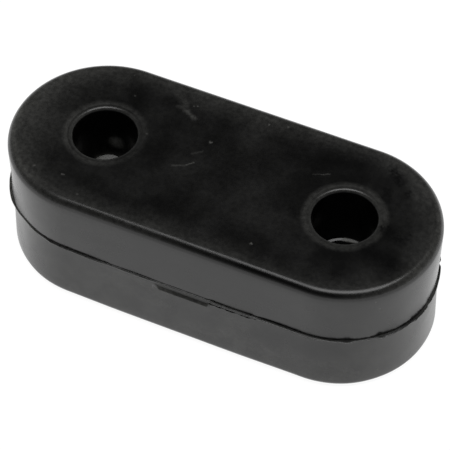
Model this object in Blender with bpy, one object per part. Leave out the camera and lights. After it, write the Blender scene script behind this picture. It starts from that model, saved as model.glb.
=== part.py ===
"""Two-hole rubber exhaust hanger, moulded as one solid block.

The origin is the middle of the flat bottom face. The holes lie along X, and both run up Z.
Lengths are in metres.
"""

import math

import bmesh
import bpy

MM = 0.001

# Block: two round ends, each round the middle of its hole
HOLE_SPACING = 45.4 * MM
WIDTH = 34.6 * MM
HEIGHT = 26.0 * MM
RIM_FILLET = 1.7 * MM
WAIST_DEPTH = 0.25 * MM

# Parting line of the two mould halves, above the middle of the height
PARTING_RISE = 0.35 * MM

# Thin fin of flash that runs round the parting line
FIN_ROOT_THICKNESS = 0.45 * MM
FIN_EDGE_THICKNESS = 0.25 * MM
FIN_SIDE_REACH = 0.35 * MM
FIN_END_REACH = 0.6 * MM

# Wider stretches of the fin, at the front of each end
RIGHT_STRETCH_REACH = 0.85 * MM
RIGHT_STRETCH_ANGLE = math.radians(-32.0)
RIGHT_STRETCH_SPREAD = math.radians(36.0)
LEFT_STRETCH_REACH = 0.75 * MM
LEFT_STRETCH_ANGLE = math.radians(209.0)
LEFT_STRETCH_SPREAD = math.radians(26.0)

# Torn strip of thicker flash, which hangs down and out from the fin on the front
STRIP_ROOT_LENGTH = 11.0 * MM
STRIP_EDGE_LENGTH = 9.2 * MM
STRIP_SKEW = 0.4 * MM
STRIP_REACH = 0.95 * MM
STRIP_TOP_REACH = 0.1 * MM
STRIP_FALL = 1.1 * MM
STRIP_EDGE_THICKNESS = 0.15 * MM
STRIP_DROP = 0.15 * MM
STRIP_ROOT_DEPTH = 1.0 * MM

# Bores, each with a rounded lip in a shallow sunk ring at both mouths
BORE_DIAMETER = 11.8 * MM
LIP_FILLET = 0.75 * MM
RING_WIDTH = 0.25 * MM
RING_DEPTH = 0.12 * MM

# Web of flash in the right bore at the parting line, widest away from the front
WEB_THICKNESS = 0.3 * MM
WEB_REACH = 0.4 * MM
WEB_SHIFT = 0.15 * MM

# Tongue of flash in the left bore at the parting line, on the side away from the front
TONGUE_WIDTH = 3.8 * MM
TONGUE_EDGE_WIDTH = 3.0 * MM
TONGUE_REACH = 1.2 * MM
TONGUE_THICKNESS = 0.35 * MM
TONGUE_ROOT_DEPTH = 1.0 * MM

# Direction of that side, seen from above
FAR_ANGLE = math.radians(115.0)

# Facets
ARC_STEPS = 32
SIDE_STEPS = 6
BORE_STEPS = 48
FILLET_STEPS = 5
CUT_PAST = 2.0 * MM

# Material
RUBBER_COLOUR = (0.018, 0.018, 0.018, 1.0)
RUBBER_ROUGHNESS = 0.45

HALF_WIDTH = WIDTH / 2
END_CENTRE = HOLE_SPACING / 2
PARTING = HEIGHT / 2 + PARTING_RISE
BORE_RADIUS = BORE_DIAMETER / 2
RIM = min(RIM_FILLET, HEIGHT / 4)
LIP = min(LIP_FILLET, HEIGHT / 8)


def clear_scene():
    """Remove every object that the scene starts with."""
    for old in list(bpy.data.objects):
        bpy.data.objects.remove(old, do_unlink=True)


def block_samples():
    """Outline of the block as (middle of the arc, direction) pairs, anticlockwise from the front right."""
    quarter = math.pi / 2
    right_end = [(END_CENTRE, -quarter + math.pi * i / ARC_STEPS) for i in range(ARC_STEPS + 1)]
    left_end = [(-middle, angle + math.pi) for middle, angle in right_end]
    steps = [END_CENTRE * (1 - 2 * i / SIDE_STEPS) for i in range(1, SIDE_STEPS)]
    back = [(x, quarter) for x in steps]
    front = [(-x, 3 * quarter) for x in steps]
    return right_end + back + left_end + front


def block_ring(inset, z, reach=None):
    """Ring round the block, inset from its rim, and carried outwards by what reach gives there."""
    points = []
    for middle, angle in block_samples():
        out = HALF_WIDTH - inset
        if reach:
            out += reach(middle, angle)
        points.append((middle + out * math.cos(angle), out * math.sin(angle), z))
    return points


def round_ring(radius, z, centre=(0.0, 0.0)):
    """Circle of BORE_STEPS points about the centre."""
    turns = [2 * math.pi * i / BORE_STEPS for i in range(BORE_STEPS)]
    return [(centre[0] + radius * math.cos(a), centre[1] + radius * math.sin(a), z) for a in turns]


def fin_reach(middle, angle):
    """Width of the fin: least on the straight sides, more round the ends, most in the wider stretches."""
    width = FIN_SIDE_REACH + (FIN_END_REACH - FIN_SIDE_REACH) * abs(math.cos(angle))
    stretches = (
        (END_CENTRE, RIGHT_STRETCH_ANGLE, RIGHT_STRETCH_SPREAD, RIGHT_STRETCH_REACH),
        (-END_CENTRE, LEFT_STRETCH_ANGLE, LEFT_STRETCH_SPREAD, LEFT_STRETCH_REACH),
    )
    for end, centre, spread, reach in stretches:
        away = abs(angle - centre)
        if middle == end and away < spread:
            share = (1 + math.cos(math.pi * away / spread)) / 2
            width += (reach - width) * share
    return width


def lofted(name, rings):
    """Object made of rings of points, one above the other, with a flat face at each end."""
    form = bmesh.new()
    loops = [[form.verts.new(point) for point in ring] for ring in rings]
    for lower, upper in zip(loops, loops[1:]):
        for i in range(len(lower)):
            j = (i + 1) % len(lower)
            form.faces.new((lower[i], lower[j], upper[j], upper[i]))
    form.faces.new(list(reversed(loops[0])))
    form.faces.new(loops[-1])
    mesh = bpy.data.meshes.new(name)
    form.to_mesh(mesh)
    form.free()
    made = bpy.data.objects.new(name, mesh)
    bpy.context.scene.collection.objects.link(made)
    return made


def quarter_turn():
    """Angles of a fillet, from nought to a quarter turn."""
    return [math.pi / 2 * i / FILLET_STEPS for i in range(FILLET_STEPS + 1)]


def rubber():
    """Black rubber with a soft sheen."""
    material = bpy.data.materials.new("black_rubber")
    material.use_nodes = True
    shader = material.node_tree.nodes["Principled BSDF"]
    shader.inputs["Base Color"].default_value = RUBBER_COLOUR
    shader.inputs["Roughness"].default_value = RUBBER_ROUGHNESS
    shader.inputs["Metallic"].default_value = 0.0
    return material


def block():
    """Block with rounded rims, walls that lean in to the parting line, and the fin of flash there."""
    bottom = [(RIM * (1 - math.sin(t)), RIM * (1 - math.cos(t))) for t in quarter_turn()]
    top = [(inset, HEIGHT - z) for inset, z in reversed(bottom)]
    rings = [block_ring(inset, z) for inset, z in bottom]
    rings.append(block_ring(WAIST_DEPTH, PARTING - FIN_ROOT_THICKNESS / 2))
    rings.append(block_ring(WAIST_DEPTH, PARTING - FIN_EDGE_THICKNESS / 2, fin_reach))
    rings.append(block_ring(WAIST_DEPTH, PARTING + FIN_EDGE_THICKNESS / 2, fin_reach))
    rings.append(block_ring(WAIST_DEPTH, PARTING + FIN_ROOT_THICKNESS / 2))
    rings += [block_ring(inset, z) for inset, z in top]
    return lofted("rubber_block", rings)


def torn_strip():
    """Strip of flash that slopes down and out from the fin, longer at its root than at its edge."""
    wall = HALF_WIDTH - WAIST_DEPTH
    back = -(wall - STRIP_ROOT_DEPTH)
    top = PARTING - STRIP_DROP
    bottom = top - STRIP_FALL
    root = (-STRIP_ROOT_LENGTH / 2, STRIP_ROOT_LENGTH / 2, -(wall + STRIP_TOP_REACH))
    edge = (
        STRIP_SKEW - STRIP_EDGE_LENGTH / 2,
        STRIP_SKEW + STRIP_EDGE_LENGTH / 2,
        -(wall + STRIP_REACH),
    )
    rings = []
    for (left, right, front), z in ((edge, bottom), (edge, bottom + STRIP_EDGE_THICKNESS), (root, top)):
        rings.append([(left, front, z), (right, front, z), (right, back, z), (left, back, z)])
    return lofted("strip_form", rings)


def tongue():
    """Tongue of flash that points into the left bore from the side away from the front."""
    near = BORE_RADIUS - TONGUE_REACH
    far = BORE_RADIUS + TONGUE_ROOT_DEPTH
    outline = [
        (near, -TONGUE_EDGE_WIDTH / 2),
        (far, -TONGUE_WIDTH / 2),
        (far, TONGUE_WIDTH / 2),
        (near, TONGUE_EDGE_WIDTH / 2),
    ]
    across, along = math.cos(FAR_ANGLE), math.sin(FAR_ANGLE)
    rings = []
    for z in (PARTING - TONGUE_THICKNESS / 2, PARTING + TONGUE_THICKNESS / 2):
        rings.append([(u * across - v * along - END_CENTRE, u * along + v * across, z) for u, v in outline])
    return lofted("tongue_form", rings)


def bore_form(name, centre_x, webbed):
    """Body that cuts one bore, with a lip and a sunk ring at both mouths and a groove for any web."""
    lip_top = BORE_RADIUS + LIP
    ring_edge = lip_top + RING_WIDTH
    mouth = [
        (ring_edge + RING_DEPTH + CUT_PAST, -CUT_PAST),
        (ring_edge, RING_DEPTH),
        (lip_top, RING_DEPTH),
    ]
    for t in quarter_turn()[1:]:
        mouth.append((lip_top - LIP * math.sin(t), RING_DEPTH + LIP * (1 - math.cos(t))))
    middle = (centre_x, 0.0)
    rings = [round_ring(radius, z, middle) for radius, z in mouth]
    if webbed:
        throat = (
            centre_x - WEB_SHIFT * math.cos(FAR_ANGLE),
            -WEB_SHIFT * math.sin(FAR_ANGLE),
        )
        web_bottom = PARTING - WEB_THICKNESS / 2
        web_top = PARTING + WEB_THICKNESS / 2
        rings.append(round_ring(BORE_RADIUS, web_bottom, middle))
        rings.append(round_ring(BORE_RADIUS - WEB_REACH, web_bottom, throat))
        rings.append(round_ring(BORE_RADIUS - WEB_REACH, web_top, throat))
        rings.append(round_ring(BORE_RADIUS, web_top, middle))
    rings += [round_ring(radius, HEIGHT - z, middle) for radius, z in reversed(mouth)]
    return lofted(name, rings)


def combine(target, helper, operation):
    """Add a Boolean of the helper to the target, and hide the helper."""
    step = target.modifiers.new(helper.name, "BOOLEAN")
    step.operation = operation
    step.solver = "EXACT"
    step.object = helper
    helper.hide_render = True
    helper.display_type = "WIRE"


def smooth(target):
    """Shade the round surfaces smooth, with sharp edges kept."""
    target.data.shade_smooth()
    target.data.set_sharp_from_angle(angle=math.radians(30))


def main():
    """Build the hanger."""
    clear_scene()
    hanger = block()
    hanger.data.materials.append(rubber())
    smooth(hanger)
    combine(hanger, torn_strip(), "UNION")
    combine(hanger, bore_form("left_bore_form", -END_CENTRE, False), "DIFFERENCE")
    combine(hanger, bore_form("right_bore_form", END_CENTRE, True), "DIFFERENCE")
    combine(hanger, tongue(), "UNION")


main()
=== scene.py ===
"""Looks of the two-hole rubber exhaust hanger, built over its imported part.

The hanger is one black rubber moulding. Its fine skin is swept by Geometry Nodes from three
profiles: one round the block's outline, with the flash of the parting line, and one down each bore.
Sizes are in millimetres and are turned into metres where a mesh or a tree needs them.
"""

import logging
import math
from collections.abc import Sequence
from dataclasses import dataclass, field, replace
from enum import Enum

import bmesh
import bpy
from mathutils import Matrix, Vector


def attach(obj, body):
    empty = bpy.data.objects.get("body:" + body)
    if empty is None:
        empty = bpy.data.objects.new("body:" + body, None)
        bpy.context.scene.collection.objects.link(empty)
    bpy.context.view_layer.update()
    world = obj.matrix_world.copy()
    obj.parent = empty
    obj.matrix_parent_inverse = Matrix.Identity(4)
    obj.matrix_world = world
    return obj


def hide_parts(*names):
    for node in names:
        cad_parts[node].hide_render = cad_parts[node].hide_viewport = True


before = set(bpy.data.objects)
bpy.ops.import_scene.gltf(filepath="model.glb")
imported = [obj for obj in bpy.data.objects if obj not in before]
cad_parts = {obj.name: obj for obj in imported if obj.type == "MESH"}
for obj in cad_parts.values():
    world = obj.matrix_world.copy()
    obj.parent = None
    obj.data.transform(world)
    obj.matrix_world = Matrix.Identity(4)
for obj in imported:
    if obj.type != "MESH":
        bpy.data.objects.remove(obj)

MM = 0.001
CAD_NODE = "rubber_block"

# What each point of a profile carries into the tree, besides its place
SHARES = ("flash", "tab", "tail", "nick", "waist", "lower", "hang", "flare")

# A fade: where it starts, where it ends, and then its result at each if that isn't nought and one
Fade = tuple[float, ...]
Socket = bpy.types.NodeSocket

log = logging.getLogger("hanger")


def put(name: str, data: bpy.types.ID) -> bpy.types.Object:
    """Put a new object in the scene.

    Args:
        name: Its name.
        data: Its mesh, lamp or camera.

    Returns:
        The object.
    """
    made = bpy.data.objects.new(name, data)
    bpy.context.scene.collection.objects.link(made)
    return made


class Sweep(Enum):
    """Which path a profile is swept along."""

    OUTLINE = 0
    LEFT_BORE = 1
    RIGHT_BORE = 2


class MarkKind(Enum):
    """What a mark on the rubber is."""

    # Dust, and the glints and highlights painted in the dust's colour
    DUST_AND_GLINT = "dust"
    SCRATCH = "scratch"
    STAIN = "stain"


@dataclass(frozen=True)
class Noise:
    """A noise with its own seed.

    Attributes:
        scale: Waves for each unit of length.
        seed: Its place along the fourth dimension.
        detail: Number of finer layers.
        roughness: Weight of the finer layers.
        span: Fade that it is put through, or None for the bare noise.
        smooth: Whether that fade is eased at both ends.
    """

    scale: float
    seed: float
    detail: float = 2.0
    roughness: float = 0.5
    span: Fade | None = None
    smooth: bool = True


class Value:
    """A number in a node tree, on which sums are done as on a plain one."""

    def __init__(self, graph: "Graph", socket: Socket) -> None:
        """Take an output of one of the graph's nodes."""
        self.graph = graph
        self.socket = socket

    def __add__(self, other: "Feed") -> "Value":
        """Add another number."""
        return self.graph.math("ADD", self, other)

    def __sub__(self, other: "Feed") -> "Value":
        """Take another number away."""
        return self.graph.math("SUBTRACT", self, other)

    def __rsub__(self, other: "Feed") -> "Value":
        """Take it away from a plain number."""
        return self.graph.math("SUBTRACT", other, self)

    def __mul__(self, other: "Feed") -> "Value":
        """Multiply it by another number."""
        return self.graph.math("MULTIPLY", self, other)

    def __truediv__(self, other: "Feed") -> "Value":
        """Divide it by another number."""
        return self.graph.math("DIVIDE", self, other)

    def __neg__(self) -> "Value":
        """Turn its sign round."""
        return self * -1.0

    def __abs__(self) -> "Value":
        """Drop its sign."""
        return self.graph.math("ABSOLUTE", self)

    def at_least(self, low: "Feed") -> "Value":
        """Give the greater of it and another number."""
        return self.graph.math("MAXIMUM", self, low)

    def at_most(self, high: "Feed") -> "Value":
        """Give the lesser of it and another number."""
        return self.graph.math("MINIMUM", self, high)

    def mix(self, low: "Feed", high: "Feed") -> "Value":
        """Blend two numbers, of which it is the second one's share."""
        return self * (high - low) + low

    def ramp(
        self,
        start: float,
        end: float,
        low: "Feed" = 0.0,
        high: "Feed" = 1.0,
        smooth: bool = True,
    ) -> "Value":
        """Carry it from one range over to another, held at both ends.

        Args:
            start: Where it gives low.
            end: Where it gives high.
            low: Result at start.
            high: Result at end.
            smooth: Whether the rise is eased at both ends.

        Returns:
            The number in the new range.
        """
        feeds = {"Value": self, "From Min": start, "From Max": end, "To Min": low, "To Max": high}
        kind = "SMOOTHSTEP" if smooth else "LINEAR"
        made = self.graph.node("ShaderNodeMapRange", feeds, interpolation_type=kind)
        return Value(self.graph, made.outputs["Result"])

    __radd__ = __add__
    __rmul__ = __mul__


class Place(Value):
    """A vector in a node tree."""

    def __add__(self, other: "Feed") -> "Place":
        """Add another vector."""
        return self.graph.vector("ADD", self, other)

    def __sub__(self, other: "Feed") -> "Place":
        """Take another vector away."""
        return self.graph.vector("SUBTRACT", self, other)

    def __mul__(self, factor: "Feed") -> "Place":
        """Multiply it by a number."""
        return self.graph.scaled(self, factor)

    def away_from(self, other: "Feed") -> Value:
        """Measure its distance from another place."""
        return self.graph.vector("DISTANCE", self, other)


Feed = Value | Socket | float | int | bool | str | Sequence[float]
Feeds = dict[str | int, Feed]


class Graph:
    """A node tree under construction, with short calls for the nodes that it needs most."""

    def __init__(self, tree: bpy.types.NodeTree) -> None:
        """Start from the tree without its nodes."""
        self.tree = tree
        tree.nodes.clear()

    def feed(self, socket: Socket, value: Feed) -> None:
        """Link a socket to another, or set its value.

        Args:
            socket: The input that is fed.
            value: An output to link, or a plain value.
        """
        if isinstance(value, Value):
            value = value.socket
        if isinstance(value, Socket):
            self.tree.links.new(value, socket)
        else:
            socket.default_value = value

    def node(self, kind: str, feeds: Feeds | None = None, **settings: object) -> bpy.types.Node:
        """Add a node.

        Args:
            kind: The node's type name.
            feeds: What goes into its inputs, by name or place.
            settings: Its own properties.

        Returns:
            The node.
        """
        made = self.tree.nodes.new(kind)
        for name, value in settings.items():
            setattr(made, name, value)
        for key, value in (feeds or {}).items():
            self.feed(made.inputs[key], value)
        return made

    def output(self, kind: str, feeds: Feeds | None = None, **settings: object) -> Socket:
        """Add a node and give its first output."""
        return self.node(kind, feeds, **settings).outputs[0]

    def math(self, operation: str, *values: Feed, clamp: bool = False) -> Value:
        """Add a Math node.

        Args:
            operation: The node's operation.
            values: Its inputs, in order.
            clamp: Whether the result is kept from nought to one.

        Returns:
            Its result.
        """
        made = self.node("ShaderNodeMath", dict(enumerate(values)), operation=operation, use_clamp=clamp)
        return Value(self, made.outputs[0])

    def vector(self, operation: str, *values: Feed) -> Value:
        """Add a Vector Math node.

        Args:
            operation: The node's operation.
            values: Its vector inputs, in order.

        Returns:
            Its result, a number for a length, a distance or a dot product.
        """
        made = self.node("ShaderNodeVectorMath", dict(enumerate(values)), operation=operation)
        if operation in ("LENGTH", "DISTANCE", "DOT_PRODUCT"):
            return Value(self, made.outputs["Value"])
        return Place(self, made.outputs["Vector"])

    def scaled(self, vector: Feed, factor: Feed) -> Place:
        """Multiply a vector by a number."""
        made = self.node("ShaderNodeVectorMath", {0: vector, "Scale": factor}, operation="SCALE")
        return Place(self, made.outputs["Vector"])

    def joined(self, x: Feed = 0.0, y: Feed = 0.0, z: Feed = 0.0) -> Place:
        """Make a vector of three numbers."""
        return Place(self, self.output("ShaderNodeCombineXYZ", {0: x, 1: y, 2: z}))

    def parted(self, vector: Feed) -> tuple[Value, Value, Value]:
        """Take a vector's three numbers apart."""
        x, y, z = self.node("ShaderNodeSeparateXYZ", {0: vector}).outputs
        return Value(self, x), Value(self, y), Value(self, z)

    def radius(self, a: Value, b: Value) -> Value:
        """Get the length of a flat vector from its two sides."""
        return self.math("SQRT", a * a + b * b)

    def noise(self, vector: Feed, kind: Noise, seed: Feed = 0.0) -> Value:
        """Add a noise.

        Args:
            vector: Where it is read.
            kind: Which noise.
            seed: What its own seed is shifted by.

        Returns:
            The noise, put through its fade if it has one.
        """
        feeds = {
            "Vector": vector,
            "W": seed + kind.seed,
            "Scale": kind.scale,
            "Detail": kind.detail,
            "Roughness": kind.roughness,
        }
        made = Value(self, self.output("ShaderNodeTexNoise", feeds, noise_dimensions="4D"))
        return made.ramp(*kind.span, smooth=kind.smooth) if kind.span else made

    def attribute(self, name: str) -> Value:
        """Read a number that the points carry."""
        made = self.node("GeometryNodeInputNamedAttribute", {"Name": name}, data_type="FLOAT")
        return Value(self, made.outputs["Attribute"])


@dataclass(frozen=True)
class ProfilePoint:
    """One point of a profile.

    Attributes:
        reach: Distance from the axis that the profile is measured from.
        z: Height.
        flash: Share of the flash's width that it is carried out by.
        tab: Share of the torn strip's width that it is carried out by.
        tail: Share of the width of the strip's tail that it is carried out by.
        nick: Share of the nick over the fin that it is drawn in by.
        waist: Share of the uneven waist that it has, the most at the parting line.
        lower: Share of the lower mould half's swelling that it has.
        hang: Share of the drop that it has where flash in a bore hangs low.
        flare: Share of the wall's flare into the fin that it has.
    """

    reach: float
    z: float
    flash: float = 0.0
    tab: float = 0.0
    tail: float = 0.0
    nick: float = 0.0
    waist: float = 0.0
    lower: float = 0.0
    hang: float = 0.0
    flare: float = 0.0


@dataclass(frozen=True)
class BlockSizes:
    """Sizes of the block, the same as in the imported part."""

    hole_spacing: float = 45.4
    width: float = 34.6
    height: float = 26.0
    rim_fillet: float = 1.7
    waist_depth: float = 0.25
    parting_rise: float = 0.35
    shelf: float = 0.3

    @property
    def half_width(self) -> float:
        """Distance from the line through the holes to the wall."""
        return self.width / 2

    @property
    def end_centre(self) -> float:
        """Distance from the middle to the centre of each round end."""
        return self.hole_spacing / 2

    @property
    def parting(self) -> float:
        """Height of the parting line."""
        return self.height / 2 + self.parting_rise

    @property
    def cap_reach(self) -> float:
        """Half width of the flat face, short of the rounded rim."""
        return self.half_width - self.rim_fillet - self.shelf


@dataclass(frozen=True)
class Patch:
    """A stretch of the outline with a size of its own.

    The size holds up to core from the stretch's place, and no longer counts from edge onwards.
    """

    place: tuple[float, float]
    core: float
    edge: float
    amount: float


@dataclass(frozen=True)
class FinSizes:
    """Thin fin of flash round the parting line, with stretches where it is wider or torn away.

    Attributes:
        reach: Its usual width.
        stretches: Where it has another width.
        corner: Where its edge is ragged.
        flares: Where the wall above runs out into it.
        tear: Share of the width that is torn away here and there.
        corner_tear: The same where it is ragged.
        wander: How far it strays up and down.
        nick: Depth of the nick between it and the wall above.
        groove: Height of the groove that the nick lies in.
        right_nick: Fade along the block in which the nick begins, right of the torn strip.
        left_nick: The two fades that bound it on the left.
    """

    root_thickness: float = 0.45
    edge_thickness: float = 0.26
    reach: float = 0.3
    stretches: tuple[Patch, ...] = (
        Patch((-30.5, -15.2), 5.0, 8.0, 0.24),
        Patch((-20.3, -17.2), 5.0, 7.0, 0.42),
        Patch((-9.5, -17.2), 4.0, 5.5, 0.3),
        Patch((-0.4, -17.2), 5.0, 6.2, 0.24),
        Patch((9.5, -17.2), 3.4, 4.6, 0.47),
        Patch((22.5, -17.2), 7.0, 8.5, 0.5),
        Patch((-38.5, -7.4), 3.8, 6.6, 0.42),
        Patch((39.3, 3.8), 4.5, 9.0, 0.5),
        Patch((38.6, 7.05), 0.25, 0.8, 0.2),
        Patch((37.9, 8.6), 0.6, 1.5, 0.62),
        Patch((36.3, -11.5), 6.5, 11.5, 0.78),
        Patch((33.0, -14.0), 0.9, 3.2, 0.45),
        Patch((39.0, -6.8), 2.6, 5.0, 0.6),
    )
    corner: Patch = Patch((37.0, -10.0), 7.0, 13.0, 1.0)
    flares: tuple[Patch, ...] = (
        Patch((-38.0, -8.5), 4.5, 9.5, 0.38),
        Patch((38.8, -7.0), 3.0, 6.6, 0.16),
    )
    tear: float = 0.3
    corner_tear: float = 0.62
    wander: float = 0.05
    nick: float = 0.17
    groove: float = 0.12
    right_nick: Fade = (4.5, 7.5)
    left_nick: tuple[Fade, Fade] = ((-13.5, -15.5), (-28.0, -25.5))


@dataclass(frozen=True)
class WallSizes:
    """Unevenness of the moulded wall.

    Attributes:
        waists: Where the wall leans in less, and by how much.
        swellings: Where the lower mould half stands out past the upper one.
    """

    waists: tuple[Patch, ...] = (
        Patch((-38.0, -8.0), 5.0, 12.0, -0.09),
        Patch((38.5, -7.0), 6.0, 13.0, 0.07),
        Patch((-3.0, -17.0), 12.0, 22.0, 0.2),
    )
    swellings: tuple[Patch, ...] = (
        Patch((-1.0, -17.0), 10.0, 24.0, 0.17),
        Patch((-36.8, -10.5), 4.0, 12.0, -0.1),
        Patch((38.5, -7.0), 5.0, 12.0, -0.1),
    )


@dataclass(frozen=True)
class StripSizes:
    """Torn strip of thicker flash that hangs under the fin at the front, with a thin tail to its right.

    Attributes:
        reach: How far its lower edge stands out.
        fall: How far it hangs down from the fin.
        root: Where its root starts and ends along the block.
        edge: Where its lower edge starts and ends.
        tear: Share of its width that is torn away here and there.
        hollow: Share of its fall over which it stays against the wall.
        tail_taper: Length over which the tail runs out.
        tail_fall: How far the tail lies under the parting line.
    """

    reach: float = 0.62
    fall: float = 1.12
    root: tuple[float, float] = (-5.5, 5.5)
    edge: tuple[float, float] = (-4.2, 5.0)
    tear: float = 0.12
    hollow: float = 0.25
    tail_end: float = 14.3
    tail_taper: float = 0.5
    tail_reach: float = 0.24
    tail_fall: float = 0.7


@dataclass(frozen=True)
class BoreSizes:
    """A bore with a rounded lip in a shallow sunk ring at both mouths.

    Attributes:
        ring_slope: Width of the slope round the sunk ring.
        ring_margin: Width of the flat stretch round the slope.
        collar: Radius at which the face goes on undisturbed.
        squeeze: Shares by which it is narrower along the block and across it.
        outset: How far it lies outwards of its round end's middle.
        setback: How far it lies away from the front.
        squeeze_edge: Radius up to which all that holds.
        squeeze_margin: Width inside the collar that stays undisturbed.
    """

    radius: float = 5.9
    lip_fillet: float = 0.75
    ring_width: float = 0.25
    ring_depth: float = 0.05
    ring_slope: float = 0.5
    ring_margin: float = 0.15
    collar: float = 8.6
    squeeze: tuple[float, float] = (0.043, 0.028)
    outset: float = 0.17
    setback: float = 0.16
    squeeze_edge: float = 7.4
    squeeze_margin: float = 0.1

    @property
    def lip_edge(self) -> float:
        """Radius at which the lip meets the sunk ring."""
        return self.radius + self.lip_fillet


@dataclass(frozen=True)
class WebSizes:
    """Flash in a bore at the parting line.

    Attributes:
        reach: Its mean width all round.
        shift: What it gains on the side away from the front and loses on the other.
        tongue: How far a tongue points inwards on the side away from the front.
        droop: How steeply it sags towards the middle of the bore.
        drop: How far it lies under the parting line.
        side_drop: How much further a tongue's two sides hang.
        tongue_half: Half the angle that the tongue takes up.
        tongue_slant: Angle within which its sides slant in.
        thickness: Its thickness at the wall.
    """

    reach: float
    shift: float
    tongue: float
    droop: float
    drop: float = 0.0
    side_drop: float = 0.0
    tongue_half: float = math.radians(31.0)
    tongue_slant: float = math.radians(9.0)
    thickness: float = 0.3


@dataclass(frozen=True)
class Fineness:
    """How finely the skin is divided."""

    outline_steps: int = 1000
    bore_steps: int = 120
    fillet_steps: int = 12
    wall_steps: int = 8
    slope_steps: int = 5
    circle_steps: int = 720


@dataclass
class MouldedBlock:
    """The whole hanger, one moulding, with a tongue of flash in the left bore and a web in the right one.

    Attributes:
        far_side: Direction, seen from above, in which the flash in the bores is widest.
        seed: Seed of the torn edges.
    """

    block: BlockSizes = field(default_factory=BlockSizes)
    fin: FinSizes = field(default_factory=FinSizes)
    strip: StripSizes = field(default_factory=StripSizes)
    wall: WallSizes = field(default_factory=WallSizes)
    bore: BoreSizes = field(default_factory=BoreSizes)
    left_web: WebSizes = field(default_factory=lambda: WebSizes(0.0, 0.0, 1.3, 0.36, side_drop=0.75))
    right_web: WebSizes = field(default_factory=lambda: WebSizes(0.4, 0.15, 0.0, 0.38, drop=0.5))
    fineness: Fineness = field(default_factory=Fineness)
    far_side: float = math.radians(115.0)
    seed: float = 3.0

    NAME = "moulded_block"
    SHARP_ANGLE = math.radians(48.0)

    # Flare of the last two wall points over the fin, and of those between them and the groove,
    # which lie by their first number of wall steps above it
    UPPER_FLARES = (0.12, 0.34)
    LOWER_FLARES = ((0.75, 0.46), (0.5, 0.6), (0.25, 0.77))

    # Nick, flare and height over the fin's root in the groove, with the height as a share of its own
    GROOVE = ((0.0, 0.95, 1.0), (0.9, 0.97, 1 / 4), (1.0, 1.0, -1 / 6), (0.0, 1.0, -1 / 3))

    # Flare under the fin
    FOOT_FLARE = 0.5

    # Width and height of the fin's section, with the height in halves of its edge's thickness
    FIN_TOP = ((0.5, 1.1), (0.9, 1.0), (1.0, 0.7))
    FIN_FOOT = ((1.0, -0.7), (0.9, -1.0))

    # Width and height of the section of the tail, and width and fall of the torn strip's
    TAIL = ((0.0, 0.05), (0.8, 0.04), (1.0, 0.0), (1.0, -0.05), (0.7, -0.09), (0.0, -0.11))
    STRIP = (
        *((0.34, 0.49), (0.75, 0.71), (0.9, 0.82), (0.98, 0.89)),
        *((1.0, 0.93), (0.96, 0.965), (0.7, 0.99), (0.0, 1.0)),
    )

    # Height, in halves of its thickness, and width of a web's section
    WEB = (
        *((-1.0, 0.0), (-0.9, 0.45), (-0.7, 0.86), (-0.4, 0.97), (0.0, 1.0)),
        *((0.4, 0.99), (0.7, 0.94), (0.9, 0.7), (1.0, 0.0)),
    )

    # How far across the sunk ring its flat floor starts
    RING_FLOOR = 0.3

    def turned(self, radius: float) -> list[tuple[float, float]]:
        """Lay out a quarter turn, as how far it has gone sideways and how far down."""
        steps = self.fineness.fillet_steps
        turn = [math.pi / 2 * i / steps for i in range(steps + 1)]
        return [(radius * math.sin(t), radius * (1 - math.cos(t))) for t in turn]

    def wall_profile(self) -> list[ProfilePoint]:
        """Lay out the outline's profile, from the top face over the flash to the bottom face.

        Returns:
            Its points, with reach measured from the line through the holes.
        """
        block, fin, strip = self.block, self.fin, self.strip
        wall, parting = block.half_width, block.parting
        waist = wall - block.waist_depth
        rim = [(wall - block.rim_fillet + out, down) for out, down in self.turned(block.rim_fillet)]
        root, edge = fin.root_thickness / 2, fin.edge_thickness / 2
        high, low = parting + root, parting - root
        groove = high + fin.groove
        shoulder = block.height - block.rim_fillet
        points = [ProfilePoint(block.cap_reach, block.height)]
        points += [ProfilePoint(reach, block.height - down) for reach, down in rim]
        upper = self.leaning((wall, shoulder), (waist, groove))
        flared = len(upper) - len(self.UPPER_FLARES)
        points += upper[:flared]
        points += [replace(point, flare=flare) for point, flare in zip(upper[flared:], self.UPPER_FLARES)]
        steps = self.fineness.wall_steps
        for left, flare in self.LOWER_FLARES:
            share = 1 - left / steps
            height = groove + left * (shoulder - groove) / steps
            points.append(ProfilePoint(wall - block.waist_depth * share, height, waist=share, flare=flare))
        for nick, flare, level in self.GROOVE:
            height = high + fin.groove * level
            points.append(ProfilePoint(waist, height, nick=nick, waist=1.0, flare=flare))
        for share, level in self.FIN_TOP + self.FIN_FOOT:
            points.append(ProfilePoint(waist, parting + edge * level, flash=share, waist=1.0, flare=1.0))
        points.append(ProfilePoint(waist, low, waist=1.0, flare=self.FOOT_FLARE))
        ledge = parting - strip.tail_fall
        for share, rise in self.TAIL:
            tab = max((low - ledge - rise) / strip.fall - strip.hollow, 0.0)
            points.append(ProfilePoint(waist, ledge + rise, tab=tab, tail=share, waist=1.0))
        for tab, share in self.STRIP:
            points.append(ProfilePoint(waist, low - strip.fall * share, tab=tab, waist=1.0))
        points += self.leaning((waist, low - strip.fall), (wall, block.rim_fillet), lower=True)
        points += [ProfilePoint(reach, down, lower=1.0) for reach, down in reversed(rim)]
        return points + [ProfilePoint(block.cap_reach, 0.0)]

    def leaning(
        self,
        start: tuple[float, float],
        end: tuple[float, float],
        lower: bool = False,
    ) -> list[ProfilePoint]:
        """Divide a straight stretch of wall, without its two ends.

        Args:
            start: Reach and height at the start.
            end: Reach and height at the end.
            lower: Whether it lies under the parting line.

        Returns:
            The points between.
        """
        made = []
        for i in range(1, self.fineness.wall_steps):
            share = i / self.fineness.wall_steps
            place = (a + (b - a) * share for a, b in zip(start, end))
            waist = 0.0
            if start[0] != end[0]:
                waist = 1 - share if lower else share
            made.append(ProfilePoint(*place, waist=waist, lower=share if lower else 0.0))
        return made

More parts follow.
